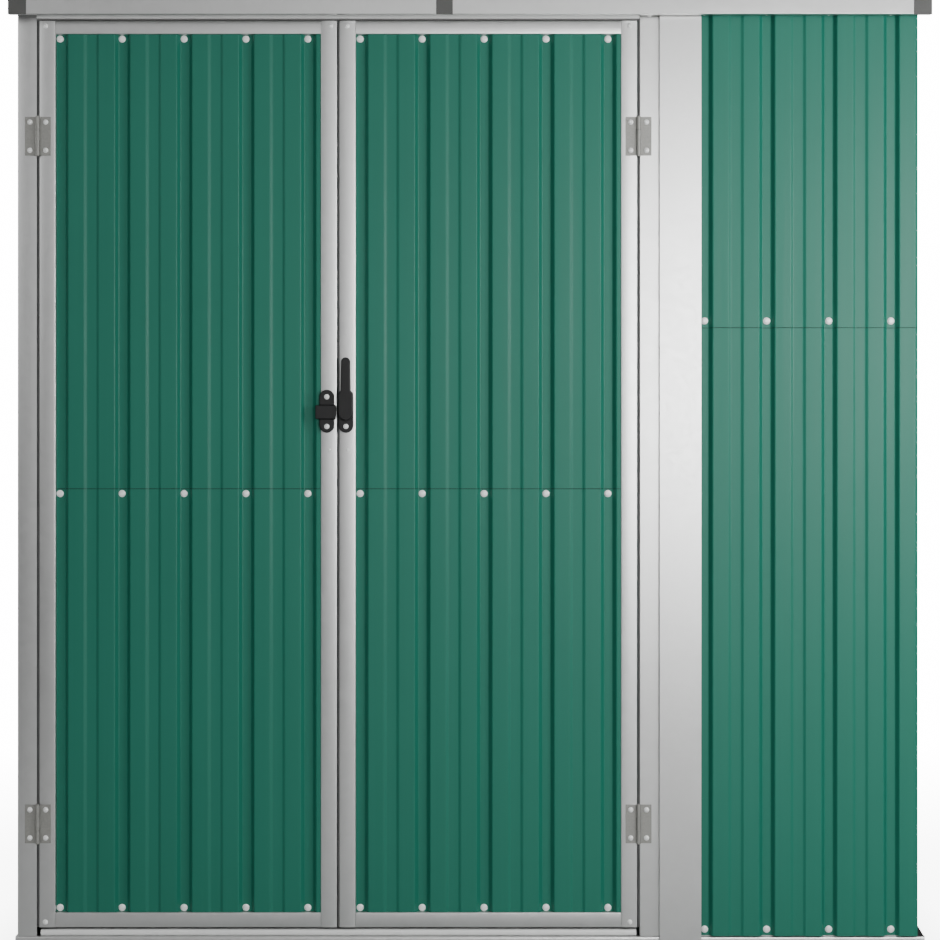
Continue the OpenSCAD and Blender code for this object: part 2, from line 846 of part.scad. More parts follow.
// A hinge leaf on one side of the axis; side is -1 for left. The middle third is cut back
// on the fixed leaf, and the outer thirds on the moving leaf.
module hinge_plate(side, middle) {
    reach = hinge_w / 2;
    clear = knuckle_r + knuckle_gap;
    difference() {
        translate([side < 0 ? -reach : 0, knuckle_r - hinge_t, -hinge_h / 2])
            cube([reach, hinge_t, hinge_h]);
        for (k = middle ? [-1, 1] : [0])
            translate([-clear, knuckle_r - hinge_t - through, (k - 0.5) * knuckle_h - knuckle_gap / 2])
                cube([
                    2 * clear, hinge_t + 2 * through,
                    knuckle_h + (k == 0 ? knuckle_gap : 2 * knuckle_gap)
                ]);
    }
}

module fixed_hinge(side) {
    hinge_plate(side, false);
    for (k = [-1, 1])
        translate([0, 0, (k - 0.5) * knuckle_h])
            cylinder(h = knuckle_h, r = knuckle_r);
    translate([0, 0, -knuckle_h])
        cylinder(h = 2 * knuckle_h, r = pin_r);
}

module moving_hinge(side) {
    difference() {
        union() {
            hinge_plate(side, true);
            translate([0, 0, -knuckle_h / 2 + knuckle_gap])
                cylinder(h = knuckle_h - 2 * knuckle_gap, r = knuckle_r);
        }
        translate([0, 0, -knuckle_h])
            cylinder(h = 2 * knuckle_h, r = pin_r + running_fit);
    }
}

module fixed_hinge_leaves() {
    color(STEEL)
        for (z = [hinge_low_z, hinge_high_z]) {
            translate([left_axis_x, axis_y, z]) fixed_hinge(-1);
            translate([right_axis_x, axis_y, z]) fixed_hinge(1);
        }
}

module door_hinge_leaves(axis_x, side) {
    color(STEEL)
        for (z = [hinge_low_z, hinge_high_z])
            translate([axis_x, axis_y, z]) moving_hinge(side);
}

// ---- Latch ----

// Upright plate with round ends, its back on y = 0
module capsule(w, h, t) {
    rotate([90, 0, 0]) {
        translate([-w / 2, w / 2, 0]) cube([w, h - w, t]);
        for (z = [w / 2, h - w / 2])
            translate([0, z, 0]) cylinder(h = t, d = w);
    }
}

module latch_keeper() {
    color(BLACK)
        union() {
            translate([keeper_x, front_y, latch_low_z])
                capsule(latch_w, keeper_h, keeper_t);
            translate([boss_x1 - boss_w, front_y - boss_t, latch_z + boss_lift - boss_h / 2])
                cube([boss_w, boss_t, boss_h]);
        }
}

module latch_base() {
    color(BLACK) {
        translate([lever_x, front_y, latch_low_z])
            capsule(latch_w, latch_base_h, latch_base_t);
        translate([lever_x, front_y, latch_z])
            rotate([90, 0, 0])
                cylinder(h = latch_base_t + lever_t, r = pivot_r);
    }
}

// The lever's outline: a broad body round the pivot, shoulders, and a tapered arm with a round end
module lever_outline() {
    shoulder = (latch_w - lever_w) / 2;
    tip_r = lever_w / 2 - lever_taper;
    circle(d = latch_w);
    polygon([
        [-latch_w / 2, 0], [latch_w / 2, 0], [latch_w / 2, lever_body_len],
        [lever_w / 2, lever_body_len + shoulder], [tip_r, lever_len - tip_r],
        [-tip_r, lever_len - tip_r], [-lever_w / 2, lever_body_len + shoulder],
        [-latch_w / 2, lever_body_len]
    ]);
    translate([0, lever_len - tip_r]) circle(tip_r);
}

module latch_lever() {
    color(BLACK)
        translate([lever_x, front_y - latch_base_t - solid_gap, latch_z])
            rotate([90, 0, 0])
                difference() {
                    linear_extrude(lever_t) lever_outline();
                    translate([0, 0, -through])
                        cylinder(h = lever_t + 2 * through, r = pivot_r + running_fit);
                }
}

// ---- Nodes ----

base_rail_front();
base_rail_back();
base_rail_left();
base_rail_right();
corner_post_front_left();
corner_post_front_right();
corner_post_back_left();
corner_post_back_right();
door_jamb();
cover_strip();
header_rails();
door_sill();
bottom_rails();
mid_rails();
top_rail_front();
top_rail_back();
top_rails_side();
front_sheet_lower();
front_sheet_upper();
left_sheet_lower();
left_sheet_upper();
right_sheet_lower();
right_sheet_upper();
back_sheet_lower();
back_sheet_upper();
roof_beams();
roof_sheet_left();
roof_sheet_right();
roof_trim_front();
roof_trim_back();
roof_trims_side();
roof_corner_caps();
roof_trim_joiners();
base_gussets();
fixed_hinge_leaves();
door_stiles(left_leaf_x);  // left_door_stiles
door_rails(left_leaf_x);  // left_door_rails
door_sheet_lower(left_leaf_x);  // left_door_sheet_lower
door_sheet_upper(left_leaf_x);  // left_door_sheet_upper
door_hinge_leaves(left_axis_x, 1);  // left_door_hinge_leaves
latch_keeper();
door_stiles(right_leaf_x);  // right_door_stiles
door_rails(right_leaf_x);  // right_door_rails
door_sheet_lower(right_leaf_x);  // right_door_sheet_lower
door_sheet_upper(right_leaf_x);  // right_door_sheet_upper
door_hinge_leaves(right_axis_x, -1);  // right_door_hinge_leaves
latch_base();
latch_lever();
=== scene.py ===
import json
import math

import bmesh
import bpy
from mathutils import Matrix, Vector

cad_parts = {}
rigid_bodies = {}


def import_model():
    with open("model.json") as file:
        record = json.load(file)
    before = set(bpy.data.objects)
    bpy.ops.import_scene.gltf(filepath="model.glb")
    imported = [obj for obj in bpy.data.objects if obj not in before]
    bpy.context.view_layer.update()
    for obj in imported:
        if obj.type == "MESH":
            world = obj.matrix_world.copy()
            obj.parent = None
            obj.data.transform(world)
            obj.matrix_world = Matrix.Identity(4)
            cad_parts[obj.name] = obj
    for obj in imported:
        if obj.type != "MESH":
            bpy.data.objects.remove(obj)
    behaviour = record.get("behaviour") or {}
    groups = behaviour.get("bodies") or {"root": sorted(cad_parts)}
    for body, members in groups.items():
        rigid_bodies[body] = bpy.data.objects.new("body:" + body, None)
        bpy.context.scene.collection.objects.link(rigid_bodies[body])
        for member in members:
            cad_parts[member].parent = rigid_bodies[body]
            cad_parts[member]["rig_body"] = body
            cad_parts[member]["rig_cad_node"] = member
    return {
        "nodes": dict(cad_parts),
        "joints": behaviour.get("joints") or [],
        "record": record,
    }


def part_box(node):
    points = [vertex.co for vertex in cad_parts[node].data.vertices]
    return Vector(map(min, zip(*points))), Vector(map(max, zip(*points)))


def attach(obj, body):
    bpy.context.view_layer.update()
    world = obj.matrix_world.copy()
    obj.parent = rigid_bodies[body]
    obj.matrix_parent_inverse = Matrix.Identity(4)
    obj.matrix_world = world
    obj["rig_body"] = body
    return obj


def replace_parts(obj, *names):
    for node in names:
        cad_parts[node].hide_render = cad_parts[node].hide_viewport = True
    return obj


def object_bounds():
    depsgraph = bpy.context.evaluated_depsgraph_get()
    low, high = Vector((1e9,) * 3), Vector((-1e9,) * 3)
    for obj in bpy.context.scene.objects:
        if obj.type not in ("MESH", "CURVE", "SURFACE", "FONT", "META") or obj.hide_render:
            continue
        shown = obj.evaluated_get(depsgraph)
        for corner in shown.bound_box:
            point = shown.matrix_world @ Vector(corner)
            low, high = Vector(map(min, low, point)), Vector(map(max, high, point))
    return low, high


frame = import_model()
cad_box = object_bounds()
nodes = frame["nodes"]
joints = {joint["name"]: joint for joint in frame["joints"]}
BODY_OF = {
    node: body
    for body, members in frame["record"]["behaviour"]["bodies"].items()
    for node in members
}

MM = 0.001
UP = Vector((0, 0, 1))
FRONT = Vector((0, -1, 0))
BACK = Vector((0, 1, 0))
LEFT = Vector((-1, 0, 0))
RIGHT = Vector((1, 0, 0))


# ---- Working with objects ----

def only(piece):
    """Leaves piece as the one selected and active object."""
    for other in bpy.context.selected_objects:
        other.select_set(False)
    piece.select_set(True)
    bpy.context.view_layer.objects.active = piece


def edit(piece, mode="EDGE"):
    """Opens piece in edit mode with nothing selected, and returns its edit mesh."""
    only(piece)
    bpy.ops.object.mode_set(mode="EDIT")
    bpy.ops.mesh.select_mode(type=mode)
    bpy.ops.mesh.select_all(action="DESELECT")
    return bmesh.from_edit_mesh(piece.data)


def pick(piece, mesh, elements):
    """Selects the given vertices, edges or faces in edit mode, and returns how many there are."""
    chosen = list(elements)
    for element in chosen:
        element.select_set(True)
    mesh.select_flush_mode()
    bmesh.update_edit_mesh(piece.data)
    return len(chosen)


def done(piece):
    """Leaves edit mode."""
    bpy.ops.object.mode_set(mode="OBJECT")
    return piece


def settle(piece):
    """Puts the object's place, turn and size into its mesh."""
    only(piece)
    bpy.ops.object.transform_apply(location=True, rotation=True, scale=True)
    return piece


def copy_of(piece, name):
    """A copy with its own mesh."""
    twin = piece.copy()
    twin.data = piece.data.copy()
    twin.name = name
    bpy.context.scene.collection.objects.link(twin)
    twin.hide_set(False)
    twin.hide_viewport = False
    twin.hide_render = False
    return twin


def joined(pieces, name):
    """Joins the pieces into one object."""
    only(pieces[0])
    for piece in pieces[1:]:
        piece.select_set(True)
    if len(pieces) > 1:
        bpy.ops.object.join()
    pieces[0].name = name
    return pieces[0]


def apply_modifier(piece, kind, **settings):
    """Adds one modifier with these settings and applies it."""
    only(piece)
    modifier = piece.modifiers.new(kind.title(), kind)
    for key, value in settings.items():
        setattr(modifier, key, value)
    bpy.ops.object.modifier_apply(modifier=modifier.name)


def smooth(piece, degrees=35):
    """Smooth shading up to an angle, with flat faces kept flat."""
    only(piece)
    bpy.ops.object.shade_smooth_by_angle(angle=math.radians(degrees))
    apply_modifier(piece, "WEIGHTED_NORMAL", mode="FACE_AREA", keep_sharp=True, weight=50)
    return piece


def finish_piece(piece, material, body):
    """Gives a piece its material and the body that it rides on."""
    piece.data.materials.clear()
    piece.data.materials.append(material)
    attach(piece, body)
    return piece


# ---- Materials ----

class Graph:
    """Adds and links nodes in one node tree."""

    def __init__(self, tree):
        self.tree = tree
        self.column = 0

    def add(self, kind, **settings):
        """Adds a node and sets its inputs and properties by name."""
        node = self.tree.nodes.new(kind)
        node.location = (self.column * 180, -(self.column % 3) * 160)
        self.column += 1
        for key, value in settings.items():
            if key in node.inputs.keys():
                node.inputs[key].default_value = value
            else:
                setattr(node, key, value)
        return node

    def link(self, source, target):
        """Links an output to an input."""
        self.tree.links.new(source, target)

    def ramp(self, source, stops):
        """A colour ramp through (position, grey or colour) stops."""
        node = self.add("ShaderNodeValToRGB")
        elements = node.color_ramp.elements
        while len(elements) < len(stops):
            elements.new(0.5)
        for element, (place, value) in zip(elements, stops):
            element.position = place
            colour = value if isinstance(value, tuple) else (value, value, value)
            element.color = (*colour, 1)
        self.link(source, node.inputs["Fac"])
        return node.outputs["Color"]

    def mix(self, fac, a, b, blend="MIX"):
        """Mixes two colours or colour outputs."""
        node = self.add("ShaderNodeMix", data_type="RGBA", blend_type=blend)
        for socket, value in ((node.inputs[0], fac), (node.inputs[6], a), (node.inputs[7], b)):
            if isinstance(value, bpy.types.NodeSocket):
                self.link(value, socket)
            else:
                socket.default_value = (*value, 1) if isinstance(value, tuple) else value
        return node.outputs[2]

    def math(self, operation, a, b=0.0):
        """One calculation with two numbers or value outputs."""
        node = self.add("ShaderNodeMath", operation=operation)
        for socket, value in zip(node.inputs, (a, b)):
            if isinstance(value, bpy.types.NodeSocket):
                self.link(value, socket)
            else:
                socket.default_value = value
        return node.outputs[0]


def effect_group(name, inputs, outputs):
    """A node group with named sockets; returns its graph, its input node and its output node."""
    tree = bpy.data.node_groups.new(name, "ShaderNodeTree")
    for label, kind, value in inputs:
        socket = tree.interface.new_socket(name=label, in_out="INPUT", socket_type=kind)
        socket.default_value = value
    for label, kind in outputs:
        tree.interface.new_socket(name=label, in_out="OUTPUT", socket_type=kind)
    graph = Graph(tree)
    return graph, graph.add("NodeGroupInput"), graph.add("NodeGroupOutput")


def build_roll_lines():
    """Faint lines drawn out along the sheet by the rolling mill."""
    graph, given, result = effect_group(
        "Roll lines",
        [("Stretch", "NodeSocketVector", (1, 1, 1)), ("Detail", "NodeSocketFloat", 4.0)],
        [("Lines", "NodeSocketFloat")],
    )
    place = graph.add("ShaderNodeTexCoord")
    mapping = graph.add("ShaderNodeMapping")
    noise = graph.add("ShaderNodeTexNoise", Scale=1.0, Roughness=0.6)
    graph.link(place.outputs["Object"], mapping.inputs["Vector"])
    graph.link(given.outputs["Stretch"], mapping.inputs["Scale"])
    graph.link(mapping.outputs["Vector"], noise.inputs["Vector"])
    graph.link(given.outputs["Detail"], noise.inputs["Detail"])
    graph.link(noise.outputs["Fac"], result.inputs["Lines"])
    return graph.tree


def build_spangle():
    """Zinc crystals: a tone for each crystal."""
    graph, given, result = effect_group(
        "Zinc spangle",
        [("Crystals per metre", "NodeSocketFloat", 90.0)],
        [("Tone", "NodeSocketFloat")],
    )
    place = graph.add("ShaderNodeTexCoord")
    warp = graph.add("ShaderNodeTexNoise", Scale=45.0, Detail=2.0)
    shift = graph.add("ShaderNodeVectorMath", operation="MULTIPLY_ADD")
    cells = graph.add("ShaderNodeTexVoronoi", feature="F1", Randomness=1.0)
    grey = graph.add("ShaderNodeSeparateColor")
    shift.inputs[1].default_value = (0.012, 0.012, 0.012)
    graph.link(place.outputs["Object"], warp.inputs["Vector"])
    graph.link(warp.outputs["Color"], shift.inputs[0])
    graph.link(place.outputs["Object"], shift.inputs[2])
    graph.link(shift.outputs["Vector"], cells.inputs["Vector"])
    graph.link(given.outputs["Crystals per metre"], cells.inputs["Scale"])
    graph.link(cells.outputs["Color"], grey.inputs["Color"])
    graph.link(grey.outputs["Red"], result.inputs["Tone"])
    return graph.tree


def build_soft_cloud():
    """Broad, slow variation, as of handling, weather and thin dust."""
    graph, given, result = effect_group(
        "Soft cloud",
        [("Scale", "NodeSocketFloat", 3.0)],
        [("Cloud", "NodeSocketFloat")],
    )
    place = graph.add("ShaderNodeTexCoord")
    noise = graph.add("ShaderNodeTexNoise", Detail=5.0, Roughness=0.55)
    graph.link(place.outputs["Object"], noise.inputs["Vector"])
    graph.link(given.outputs["Scale"], noise.inputs["Scale"])
    graph.link(noise.outputs["Fac"], result.inputs["Cloud"])
    return graph.tree


ROLL_LINES = build_roll_lines()
SPANGLE = build_spangle()
SOFT_CLOUD = build_soft_cloud()


def new_material(name):
    """An empty material with a Principled shader; returns the material, its graph and the shader."""
    material = bpy.data.materials.new(name)
    material.use_nodes = True
    material.node_tree.nodes.clear()
    graph = Graph(material.node_tree)
    shader = graph.add("ShaderNodeBsdfPrincipled")
    output = graph.add("ShaderNodeOutputMaterial")
    graph.link(shader.outputs["BSDF"], output.inputs["Surface"])
    return material, graph, shader


def effect(graph, tree, **values):
    """Places an effect group and sets its inputs."""
    node = graph.add("ShaderNodeGroup")
    node.node_tree = tree
    for key, value in values.items():
        node.inputs[key.replace("_", " ")].default_value = value
    return node


def bump(graph, shader, height, strength, distance):
    """Lets a height output shade the surface."""
    node = graph.add("ShaderNodeBump", Strength=strength, Distance=distance)
    graph.link(height, node.inputs["Height"])
    graph.link(node.outputs["Normal"], shader.inputs["Normal"])


def zinc_steel(name, tones, rough, metallic, stretch, crystals):
    """Zinc-coated steel: faint crystals and roll lines, half matt."""
    material, graph, shader = new_material(name)
    spangle = effect(graph, SPANGLE, Crystals_per_metre=crystals)
    lines = effect(graph, ROLL_LINES, Stretch=stretch, Detail=3.0)
    cloud = effect(graph, SOFT_CLOUD, Scale=2.2)
    base = graph.ramp(spangle.outputs["Tone"], [(0.0, tones[0]), (1.0, tones[1])])
    cloud_mask = graph.ramp(cloud.outputs["Cloud"], [(0.35, 0.0), (0.7, 0.6)])
    graph.link(graph.mix(cloud_mask, base, tones[2]), shader.inputs["Base Color"])
    mixed = graph.mix(0.5, spangle.outputs["Tone"], lines.outputs["Lines"])
    graph.link(graph.ramp(mixed, [(0.2, rough[0]), (0.8, rough[1])]), shader.inputs["Roughness"])
    shader.inputs["Metallic"].default_value = metallic
    bump(graph, shader, lines.outputs["Lines"], strength=0.02, distance=0.2 * MM)
    return material


def coil_coat(name, tones, rough, stretch):
    """Green coil-coated steel: even, half-gloss paint with faint roll lines."""
    material, graph, shader = new_material(name)
    cloud = effect(graph, SOFT_CLOUD, Scale=1.6)
    lines = effect(graph, ROLL_LINES, Stretch=stretch, Detail=4.0)
    grain = effect(graph, SOFT_CLOUD, Scale=900.0)
    base = graph.ramp(cloud.outputs["Cloud"], [(0.3, tones[0]), (0.7, tones[1])])
    streaked = graph.mix(graph.ramp(lines.outputs["Lines"], [(0.4, 0.0), (0.75, 0.3)]), base, tones[2])
    graph.link(streaked, shader.inputs["Base Color"])
    graph.link(
        graph.ramp(lines.outputs["Lines"], [(0.25, rough[0]), (0.75, rough[1])]),
        shader.inputs["Roughness"],
    )
    shader.inputs["Specular IOR Level"].default_value = 0.27
    both = graph.mix(0.5, lines.outputs["Lines"], grain.outputs["Cloud"])
    bump(graph, shader, both, strength=0.1, distance=0.4 * MM)
    return material


def moulded_plastic(name, tones, rough, grain_scale):
    """Moulded plastic with a fine spark-eroded grain."""
    material, graph, shader = new_material(name)
    grain = effect(graph, SOFT_CLOUD, Scale=grain_scale)
    cloud = effect(graph, SOFT_CLOUD, Scale=14.0)
    base = graph.ramp(cloud.outputs["Cloud"], [(0.3, tones[0]), (0.7, tones[1])])
    graph.link(base, shader.inputs["Base Color"])
    graph.link(
        graph.ramp(grain.outputs["Cloud"], [(0.3, rough[0]), (0.7, rough[1])]),
        shader.inputs["Roughness"],
    )
    shader.inputs["Specular IOR Level"].default_value = 0.3
    bump(graph, shader, grain.outputs["Cloud"], strength=0.25, distance=0.3 * MM)
    return material


# Roll lines per metre, few along the strip and many across it
ALONG_Z = (90, 90, 1.2)
ALONG_X = (1.2, 90, 90)
ALONG_Y = (90, 1.2, 90)
SHEET_CRYSTALS = 90
ZINC_ROUGH = (0.295, 0.335)
ZINC_METALLIC = 0.92
COAT_ROUGH = (0.38, 0.48)
ZINC_TONES = ((0.655, 0.66, 0.655), (0.675, 0.68, 0.675), (0.65, 0.655, 0.65))
GREEN_TONES = ((0.008, 0.137, 0.092), (0.009, 0.147, 0.099), (0.012, 0.158, 0.110))
galvanised_upright = zinc_steel(
    "galvanised_upright", ZINC_TONES, ZINC_ROUGH, ZINC_METALLIC, ALONG_Z, SHEET_CRYSTALS,
)
galvanised_level = zinc_steel(
    "galvanised_level", ZINC_TONES, ZINC_ROUGH, ZINC_METALLIC, ALONG_X, SHEET_CRYSTALS,
)
galvanised_side = zinc_steel(
    "galvanised_side", ZINC_TONES, ZINC_ROUGH, ZINC_METALLIC, ALONG_Y, SHEET_CRYSTALS,
)
# A lighter, less metallic copy of the zinc for the header rails and the door sill: painted light, so that
# these parts look as lit as the open zinc while they sit in the shade of the fascia and the door leaves
galvanised_painted_lit = zinc_steel(
    "galvanised_painted_lit", ((0.80, 0.81, 0.80), (0.84, 0.85, 0.84), (0.79, 0.80, 0.79)),
    (0.45, 0.55), 0.15, ALONG_X, SHEET_CRYSTALS,
)
hinge_zinc = zinc_steel(
    "hinge_zinc", ((0.24, 0.24, 0.225), (0.30, 0.30, 0.28), (0.26, 0.26, 0.245)),
    (0.42, 0.55), 0.3, (400, 400, 400), 400,
)
screw_zinc = zinc_steel(
    "screw_zinc", ((0.90, 0.91, 0.90), (0.95, 0.96, 0.95), (0.91, 0.92, 0.91)),
    (0.30, 0.40), 0.1, (600, 600, 600), 500,
)
green_upright = coil_coat("green_upright", GREEN_TONES, COAT_ROUGH, ALONG_Z)
green_roof = coil_coat("green_roof", GREEN_TONES, COAT_ROUGH, ALONG_Y)
cap_plastic = moulded_plastic(
    "cap_plastic", ((0.088, 0.089, 0.086), (0.100, 0.101, 0.098)), (0.62, 0.76), 700,
)
latch_plastic = moulded_plastic(
    "latch_plastic", ((0.006, 0.006, 0.0065), (0.009, 0.009, 0.0095)), (0.32, 0.44), 900,
)
seal_rubber = moulded_plastic(
    "seal_rubber", ((0.140, 0.141, 0.140), (0.160, 0.161, 0.160)), (0.6, 0.75), 600,
)
# Near-black for the painted shadow line along each sheet lap
lap_painted_shade = moulded_plastic(
    "lap_painted_shade", ((0.003, 0.022, 0.016), (0.004, 0.028, 0.020)), (0.6, 0.8), 500,
)


# ---- Shaping copies of the frame's pieces ----

MERGE_WITHIN = 0.02 * MM
FLAT_WITHIN = math.radians(0.6)
SHORTEST_FOLD = 200 * MM
NARROWEST_FACE = 2.5 * MM
FOLD_TURN = (math.radians(8), math.radians(100))
FOLD_SEGMENTS = 3
CROWN_CUTS = (-0.6, -0.3, 0.0, 0.3, 0.6)
FACING = 0.999
FACES_UP = 0.9
ON_PLANE = 0.1 * MM
ON_LINE = 0.02 * MM
EASED_TURN = math.radians(50)
ROUND_SHADING = 50


def merged_copy(node, name):
    """A copy of a CAD node as one clean shell with flat faces whole."""
    piece = copy_of(nodes[node], name)
    piece.parent = None
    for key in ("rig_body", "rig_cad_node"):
        if key in piece:
            del piece[key]
    only(piece)
    bpy.ops.mesh.customdata_custom_splitnormals_clear()
    mesh = edit(piece)
    pick(piece, mesh, mesh.edges)
    bpy.ops.mesh.remove_doubles(threshold=MERGE_WITHIN)
    bpy.ops.mesh.dissolve_limited(angle_limit=FLAT_WITHIN)
    bpy.ops.mesh.select_all(action="DESELECT")
    return done(piece)


def round_folds(piece, radius):
    """Rounds the folds: long edges between two faces that are both wide enough."""
    mesh = edit(piece)

    def fold(edge):
        if len(edge.link_faces) != 2 or edge.calc_length() < SHORTEST_FOLD:
            return False
        turn = edge.link_faces[0].normal.angle(edge.link_faces[1].normal, 0)
        width = min(face.calc_area() / edge.calc_length() for face in edge.link_faces)
        return FOLD_TURN[0] < turn < FOLD_TURN[1] and width > NARROWEST_FACE

    if pick(piece, mesh, [edge for edge in mesh.edges if fold(edge)]):
        bpy.ops.mesh.bevel(offset=radius, segments=FOLD_SEGMENTS, affect="EDGES")
    return done(piece)


def crown_faces(piece, across, sag):
    """Crowns the front faces slightly across their width: the middle stays, both edges go back by sag."""
    front = min(vertex.co.y for vertex in piece.data.vertices)

    def in_front(face):
        return face.normal.dot(FRONT) > FACING and abs(face.calc_center_median().y - front) < ON_PLANE

    def spans():
        """Reach of each front face along `across`."""
        mesh = edit(piece, "FACE")
        found = set()
        for face in filter(in_front, mesh.faces):
            places = [vertex.co.dot(across) for vertex in face.verts]
            found.add((round(min(places), 5), round(max(places), 5)))
        done(piece)
        return found

    for low, high in spans():
        middle, half = (low + high) / 2, (high - low) / 2
        for step in CROWN_CUTS:
            mesh = edit(piece, "FACE")
            pick(piece, mesh, [
                face for face in mesh.faces
                if in_front(face) and low < face.calc_center_median().dot(across) < high
            ])
            bpy.ops.mesh.bisect(plane_co=across * (middle + step * half), plane_no=across)
            done(piece)
        for step in (-1.0, *CROWN_CUTS, 1.0):
            mesh = edit(piece, "VERT")
            column = [
                vertex for vertex in mesh.verts
                if abs(vertex.co.dot(across) - middle - step * half) < ON_LINE
                and abs(vertex.co.y - front) < ON_LINE
            ]
            if step and pick(piece, mesh, column):
                bpy.ops.transform.translate(value=BACK * sag * step * step)
            done(piece)
    return piece


def ease_edges(piece, width, segments=2):
    """Takes the sharpness off every edge that turns sharply."""
    apply_modifier(
        piece, "BEVEL", width=width, segments=segments, limit_method="ANGLE",
        angle_limit=EASED_TURN, use_clamp_overlap=True,
    )
    return piece


def stands_for(piece, node, material):
    """Finishes a piece in a CAD node's place: with its slot, on its body."""
    finish_piece(piece, material, BODY_OF[node])
    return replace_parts(piece, node)


def shaped(node, material, fold=0.0, ease=0.0, crown=None):
    """The finished piece for a CAD node: front faces crowned, folds rounded and edges eased, where asked."""
    piece = merged_copy(node, f"{node}_shaped")
    if crown:
        crown_faces(piece, *crown)
    if fold:
        round_folds(piece, fold)
    if ease:
        ease_edges(piece, ease)
    smooth(piece)
    return stands_for(piece, node, material)


# ---- Ribbed sheets ----

SHEET_T = 0.8 * MM
SHEET_BEND = 2.2 * MM
# The painted shadow line at each lap: how far it shows past the outer sheet's edge, and how far it stands
# out from the inner sheet
SHADE_LINE_SHOWS = 1.3 * MM
SHADE_LINE_PROUD = 0.35 * MM

# Each wall's outward direction and the direction across it
WALLS = {"front": (FRONT, RIGHT), "left": (LEFT, BACK), "right": (RIGHT, BACK), "back": (BACK, RIGHT)}
DOORS = ("left", "right")
LEVELS = ("lower", "upper")

for side in WALLS:
    for level in LEVELS:
        shaped(f"{side}_sheet_{level}", green_upright, SHEET_BEND)
for side in DOORS:
    for level in LEVELS:
        shaped(f"{side}_door_sheet_{level}", green_upright, SHEET_BEND)
for node in ("roof_sheet_left", "roof_sheet_right"):
    shaped(node, green_roof, SHEET_BEND)


def lap_shade_line(node, low, outward, name):
    """A painted shadow line in a lap: a thin near-black strip from height `low` along the inner sheet's
    face, where the outer sheet's edge throws its shade.
    """
    piece = merged_copy(node, name)
    for height, keep_upper in ((low, True), (low + SHADE_LINE_SHOWS, False)):
        mesh = edit(piece, "FACE")
        pick(piece, mesh, mesh.faces)
        bpy.ops.mesh.bisect(
            plane_co=(0, 0, height), plane_no=(0, 0, 1), use_fill=True,
            clear_inner=keep_upper, clear_outer=not keep_upper,
        )
        done(piece)
    piece.location = outward * SHADE_LINE_PROUD
    settle(piece)
    smooth(piece)
    return finish_piece(piece, lap_painted_shade, BODY_OF[node])


# A thin near-black strip at each lap paints the shadow under the outer sheet's edge
# On a wall the upper sheet laps over the lower one, and on a door the lower one over the upper
for side, (outward, across) in WALLS.items():
    upper_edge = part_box(f"{side}_sheet_upper")[0].z
    lap_shade_line(f"{side}_sheet_lower", upper_edge - SHADE_LINE_SHOWS, outward, f"{side}_wall_lap_tape")
for side in DOORS:
    lower_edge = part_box(f"{side}_door_sheet_lower")[1].z
    lap_shade_line(f"{side}_door_sheet_upper", lower_edge, FRONT, f"{side}_door_lap_tape")


# ---- Posts, rails and trim ----

STOUT_FOLD = 1.3 * MM
FINE_FOLD = 1.2 * MM
SILL_FOLD = 4.5 * MM
BASE_FOLD = 4.0 * MM
CAP_EASE = 0.6 * MM
GUSSET_EASE = 0.8 * MM
STILE_CROWN = (RIGHT, 0.8 * MM)
RAIL_CROWN = (UP, 0.7 * MM)

# Each frame node's material, fold radius and crown
FRAME_WORK = {
    "corner_post_front_left": (galvanised_upright, STOUT_FOLD, STILE_CROWN),
    "corner_post_front_right": (galvanised_upright, STOUT_FOLD, None),
    "corner_post_back_left": (galvanised_upright, STOUT_FOLD, None),
    "corner_post_back_right": (galvanised_upright, STOUT_FOLD, None),
    "door_jamb": (galvanised_upright, STOUT_FOLD, None),
    "cover_strip": (galvanised_upright, 0, None),
    "left_door_stiles": (galvanised_upright, STOUT_FOLD, STILE_CROWN),
    "right_door_stiles": (galvanised_upright, STOUT_FOLD, STILE_CROWN),
    "base_rail_front": (galvanised_level, BASE_FOLD, RAIL_CROWN),
    "base_rail_back": (galvanised_level, BASE_FOLD, None),
    # The header rails and the door sill take the zinc copy with painted light
    "header_rails": (galvanised_painted_lit, FINE_FOLD, None),
    "door_sill": (galvanised_painted_lit, SILL_FOLD, None),
    "top_rail_front": (galvanised_level, FINE_FOLD, None),
    "top_rail_back": (galvanised_level, FINE_FOLD, None),
    "roof_trim_front": (galvanised_level, FINE_FOLD, None),
    "roof_trim_back": (galvanised_level, FINE_FOLD, None),
    "left_door_rails": (galvanised_level, FINE_FOLD, RAIL_CROWN),
    "right_door_rails": (galvanised_level, FINE_FOLD, RAIL_CROWN),
    "bottom_rails": (galvanised_level, FINE_FOLD, None),
    "mid_rails": (galvanised_level, FINE_FOLD, None),
    "base_rail_left": (galvanised_side, BASE_FOLD, None),
    "base_rail_right": (galvanised_side, BASE_FOLD, None),
    "top_rails_side": (galvanised_side, FINE_FOLD, None),
    "roof_beams": (galvanised_side, FINE_FOLD, None),
    "roof_trims_side": (galvanised_side, FINE_FOLD, None),
}
for node, (material, radius, crown) in FRAME_WORK.items():
    shaped(node, material, radius, crown=crown)
for node in ("roof_corner_caps", "roof_trim_joiners"):
    shaped(node, cap_plastic, ease=CAP_EASE)
shaped("base_gussets", latch_plastic, ease=GUSSET_EASE)


# ---- Seals in the gaps round the doors ----

SEAL_SET_BACK = 5 * MM
SEAL_THICK = 5 * MM
SEAL_REACH = 3.2 * MM
SEAL_ROUND = 1.2 * MM


